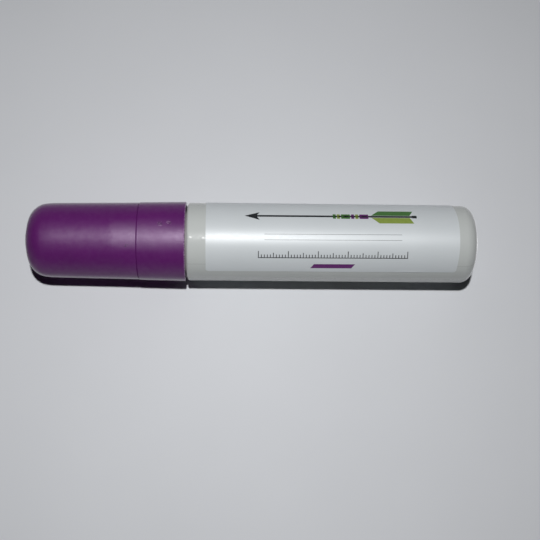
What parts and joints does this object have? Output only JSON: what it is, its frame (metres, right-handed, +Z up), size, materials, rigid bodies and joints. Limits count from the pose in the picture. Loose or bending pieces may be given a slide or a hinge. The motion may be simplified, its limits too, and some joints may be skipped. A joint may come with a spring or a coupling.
{
  "type": "wide-tip paint pen",
  "caption": "Round pump-action paint pen with a domed push-on cap, film label, sprung felt chisel nib, ink valve and mixing ball.",
  "frame": {"origin": "on the surface that the pen lies on, under the middle of its length", "axes": "+X along the pen from the cap's tip to the barrel's rear, +Y to the far side, +Z up"},
  "size_m": [0.1548, 0.0274, 0.0273],
  "materials": {
    "violet_polypropylene": "satin moulded",
    "natural_polyethylene": "waxy moulded",
    "grey_polypropylene": "smooth moulded",
    "silver_film": "satin silver film",
    "holder_polypropylene": "smooth moulded",
    "inked_felt": "pressed felt soaked in ink",
    "seal_rubber": "moulded",
    "natural_acetal": "moulded",
    "spring_steel": "drawn wire",
    "ball_steel": "polished"
  },
  "bodies": {
    "barrel": {"barrel": "grey_polypropylene", "label": "silver_film", "nib_holder": "holder_polypropylene", "valve_plate": "natural_polyethylene", "valve_seat": "seal_rubber", "valve_cage": "natural_polyethylene", "valve_spring": "spring_steel"},
    "cap": {"cap_shell": "violet_polypropylene", "cap_liner": "natural_polyethylene"},
    "nib": {"nib": "inked_felt"},
    "valve_stem": {"valve_stem": "natural_acetal"},
    "mixing_ball": {"mixing_ball": "ball_steel"}
  },
  "joints": [
    {"name": "cap_pull", "type": "slide", "parent": "barrel", "child": "cap", "axis": [-1, 0, 0], "range_m": [0, 0.06]},
    {"name": "nib_pump", "type": "slide", "parent": "barrel", "child": "nib", "axis": [1, 0, 0], "range_m": [0, 0.0035], "stiffness_N_per_m": 900, "springref_m": -0.002, "deforming": ["valve_spring"]},
    {"name": "valve_lift", "type": "slide", "parent": "barrel", "child": "valve_stem", "axis": [1, 0, 0], "range_m": [0, 0.0035], "deforming": ["valve_spring"]},
    {"name": "ball_roll", "type": "slide", "parent": "barrel", "child": "mixing_ball", "axis": [-1, 0, 0], "range_m": [0, 0.073]}
  ],
  "couplings": [
    {"joint": "valve_lift", "follows": "nib_pump", "ratio": 1}
  ]
}
